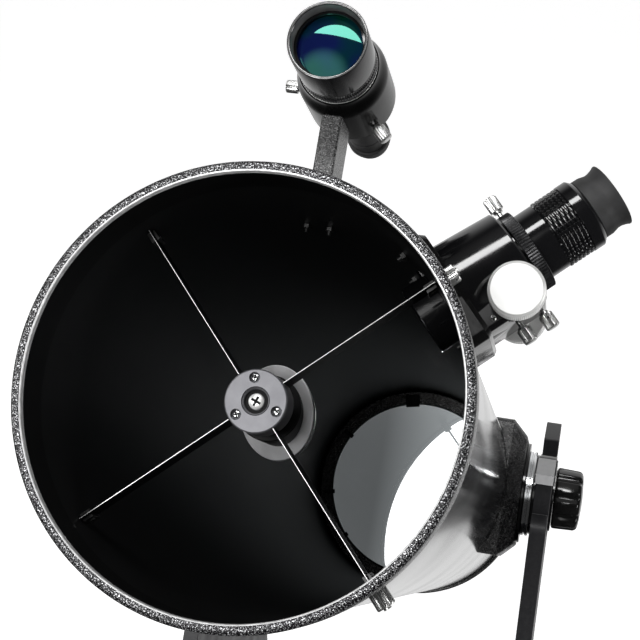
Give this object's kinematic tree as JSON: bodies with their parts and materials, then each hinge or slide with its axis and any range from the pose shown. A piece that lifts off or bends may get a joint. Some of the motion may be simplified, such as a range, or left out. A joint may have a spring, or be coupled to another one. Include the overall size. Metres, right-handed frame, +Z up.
{
  "type": "dobsonian telescope",
  "caption": "Solid-tube Newtonian reflector on a rocker-box altazimuth mount, with a two-speed focuser and a straight finder.",
  "frame": {"origin": "middle of the underside of the box round the whole telescope, on the floor", "axes": "+Z up, the tube points along -Y and up, +X along the altitude axis to the focuser's side"},
  "size_m": [0.6, 1.2052, 1.2133],
  "materials": {
    "tube_paint": "gloss black paint outside, flat black inside",
    "hammertone": "black wrinkle paint on castings",
    "black_anodised": "glossy black anodising",
    "grey_anodised": "satin grey anodising",
    "satin_metal": "bead-blasted clear anodising",
    "polished_metal": "polished",
    "steel": "zinc plated",
    "black_steel": "thin black oxide",
    "laminate": "black melamine on particle board",
    "knob_plastic": "glossy black moulding",
    "pad_plastic": "grey slippery plastic",
    "rubber": "matt black",
    "mirror_coating": "aluminised glass",
    "coated_glass": "green multicoated lens"
  },
  "bodies": {
    "ground": {"ground_board": "laminate", "foot_1": "rubber", "foot_2": "rubber", "foot_3": "rubber", "azimuth_bolt": "steel"},
    "rocker": {"rocker_board": "laminate", "side_panel_left": "laminate", "side_panel_right": "laminate", "front_board": "laminate", "saddle_pad_left": "pad_plastic", "saddle_pad_right": "pad_plastic"},
    "azimuth_nut": {"azimuth_knob": "knob_plastic"},
    "trunnions": {"trunnion_left": "polished_metal", "trunnion_right": "polished_metal"},
    "knob_right": {"altitude_knob_right": "knob_plastic"},
    "knob_left": {"altitude_knob_left": "knob_plastic"},
    "ota": {"tube_section_1": "tube_paint", "tube_section_2": "tube_paint", "tube_section_3": "tube_paint", "front_ring": "hammertone", "rear_ring": "hammertone", "bearing_block_left": "hammertone", "bearing_block_right": "hammertone", "primary_mirror": "mirror_coating", "mirror_cell": "hammertone", "spider_hub": "grey_anodised", "spider_vane_1": "black_steel", "spider_vane_2": "black_steel", "spider_vane_3": "black_steel", "spider_vane_4": "black_steel", "secondary_holder": "grey_anodised", "secondary_mirror": "mirror_coating", "focuser_base": "black_anodised", "focuser_body": "black_anodised", "finder_shoe": "black_anodised"},
    "secondary_centre_bolt": {"secondary_bolt": "polished_metal"},
    "secondary_adjuster_1": {"secondary_screw_1": "black_steel"},
    "secondary_adjuster_2": {"secondary_screw_2": "black_steel"},
    "secondary_adjuster_3": {"secondary_screw_3": "black_steel"},
    "collimator_1": {"collimation_knob_1": "knob_plastic"},
    "collimator_2": {"collimation_knob_2": "knob_plastic"},
    "collimator_3": {"collimation_knob_3": "knob_plastic"},
    "fan": {"fan_rotor": "knob_plastic"},
    "drawtube": {"focuser_drawtube": "black_anodised", "focuser_collar": "black_anodised"},
    "drawtube_screw": {"collar_screw": "polished_metal"},
    "focus_shaft": {"focus_knob_front": "satin_metal", "focus_knob_rear": "satin_metal"},
    "fine_focus": {"fine_knob": "black_anodised"},
    "tension": {"tension_screw": "polished_metal"},
    "focus_lock": {"lock_screw": "polished_metal"},
    "eyepiece": {"eyepiece_body": "black_anodised", "eyecup": "rubber"},
    "finder_arm": {"finder_bracket": "black_anodised"},
    "finder": {"finder_tube": "black_anodised", "finder_eyepiece": "rubber"},
    "finder_objective": {"finder_cell": "black_anodised", "finder_lens": "coated_glass"},
    "finder_adjuster_left": {"finder_screw_left": "polished_metal"},
    "finder_adjuster_right": {"finder_screw_right": "polished_metal"}
  },
  "joints": [
    {"name": "azimuth", "type": "hinge", "parent": "ground", "child": "rocker", "pos_m": [0, 0.14506, 0.045], "axis": [0, 0, 1], "continuous": true},
    {"name": "azimuth_nut_turn", "type": "hinge", "parent": "ground", "child": "azimuth_nut", "pos_m": [0, 0.14506, 0.07], "axis": [0, 0, 1], "range_deg": [-180, 180]},
    {"name": "altitude", "type": "hinge", "parent": "rocker", "child": "trunnions", "pos_m": [0, 0.14506, 0.6], "axis": [-1, 0, 0], "range_deg": [-30, 60]},
    {"name": "balance", "type": "slide", "parent": "trunnions", "child": "ota", "axis": [0, 0.866, -0.5], "range_m": [-0.028, 0.028]},
    {"name": "knob_right_turn", "type": "hinge", "parent": "trunnions", "child": "knob_right", "pos_m": [0, 0.14506, 0.6], "axis": [1, 0, 0], "range_deg": [-180, 180]},
    {"name": "knob_left_turn", "type": "hinge", "parent": "trunnions", "child": "knob_left", "pos_m": [0, 0.14506, 0.6], "axis": [-1, 0, 0], "range_deg": [-180, 180]},
    {"name": "focus", "type": "slide", "parent": "ota", "child": "drawtube", "axis": [0.7431, 0.3346, 0.5795], "range_m": [0, 0.022]},
    {"name": "focus_coarse", "type": "hinge", "parent": "ota", "child": "focus_shaft", "pos_m": [0.16417, -0.34748, 1.00689], "axis": [0, 0.866, -0.5], "range_deg": [-40, 424]},
    {"name": "focus_fine", "type": "hinge", "parent": "ota", "child": "fine_focus", "pos_m": [0.16417, -0.34748, 1.00689], "axis": [0, 0.866, -0.5], "range_deg": [-20, 4240]},
    {"name": "tension_turn", "type": "hinge", "parent": "ota", "child": "tension", "pos_m": [0.17168, -0.35689, 0.9906], "axis": [0.6691, -0.3716, -0.6436], "range_deg": [-180, 180]},
    {"name": "focus_lock_turn", "type": "hinge", "parent": "ota", "child": "focus_lock", "pos_m": [0.1858, -0.35053, 1.00162], "axis": [0.6691, -0.3716, -0.6436], "range_deg": [-180, 180]},
    {"name": "drawtube_screw_turn", "type": "hinge", "parent": "drawtube", "child": "drawtube_screw", "pos_m": [0.13502, -0.31082, 1.07039], "axis": [-0.6691, 0.3716, 0.6436], "range_deg": [-180, 180]},
    {"name": "eyepiece_out", "type": "slide", "parent": "drawtube", "child": "eyepiece", "axis": [0.7431, 0.3346, 0.5795], "range_m": [0, 0.022]},
    {"name": "finder_out", "type": "slide", "parent": "ota", "child": "finder_arm", "axis": [0, -0.866, 0.5], "range_m": [0, 0.03]},
    {"name": "finder_tilt", "type": "hinge", "parent": "finder_arm", "child": "finder", "pos_m": [0.0062, -0.29468, 1.16034], "axis": [1, 0, 0], "range_deg": [-0.8, 0.8]},
    {"name": "finder_objective_turn", "type": "hinge", "parent": "finder", "child": "finder_objective", "pos_m": [0.0062, -0.34145, 1.18734], "axis": [0, -0.866, 0.5], "range_deg": [-180, 180]},
    {"name": "finder_screw_left_turn", "type": "hinge", "parent": "finder_arm", "child": "finder_adjuster_left", "pos_m": [-0.0338, -0.24619, 1.13234], "axis": [-1, 0, 0], "range_deg": [-180, 180]},
    {"name": "finder_screw_right_turn", "type": "hinge", "parent": "finder_arm", "child": "finder_adjuster_right", "pos_m": [0.03448, -0.26033, 1.10785], "axis": [0.7071, -0.3536, -0.6124], "range_deg": [-180, 180]},
    {"name": "secondary_bolt_turn", "type": "hinge", "parent": "ota", "child": "secondary_centre_bolt", "pos_m": [0, -0.47415, 0.9575], "axis": [0, -0.866, 0.5], "range_deg": [-180, 180]},
    {"name": "secondary_screw_1_turn", "type": "hinge", "parent": "ota", "child": "secondary_adjuster_1", "pos_m": [-0.00343, -0.46608, 0.97148], "axis": [0, -0.866, 0.5], "range_deg": [-180, 180]},
    {"name": "secondary_screw_2_turn", "type": "hinge", "parent": "ota", "child": "secondary_adjuster_2", "pos_m": [-0.01226, -0.47967, 0.94794], "axis": [0, -0.866, 0.5], "range_deg": [-180, 180]},
    {"name": "secondary_screw_3_turn", "type": "hinge", "parent": "ota", "child": "secondary_adjuster_3", "pos_m": [0.01569, -0.4767, 0.95308], "axis": [0, -0.866, 0.5], "range_deg": [-180, 180]},
    {"name": "collimation_1_turn", "type": "hinge", "parent": "ota", "child": "collimator_1", "pos_m": [0, 0.48477, 0.2884], "axis": [0, 0.866, -0.5], "range_deg": [-180, 180]},
    {"name": "collimation_2_turn", "type": "hinge", "parent": "ota", "child": "collimator_2", "pos_m": [-0.0866, 0.55977, 0.4183], "axis": [0, 0.866, -0.5], "range_deg": [-180, 180]},
    {"name": "collimation_3_turn", "type": "hinge", "parent": "ota", "child": "collimator_3", "pos_m": [0.0866, 0.55977, 0.4183], "axis": [0, 0.866, -0.5], "range_deg": [-180, 180]},
    {"name": "fan_spin", "type": "hinge", "parent": "ota", "child": "fan", "pos_m": [0, 0.51918, 0.384], "axis": [0, 0.866, -0.5], "continuous": true}
  ],
  "couplings": [
    {"joint": "focus_coarse", "follows": "focus", "rad_per_m": 333.33},
    {"joint": "focus_fine", "follows": "focus", "rad_per_m": 3333.3}
  ]
}
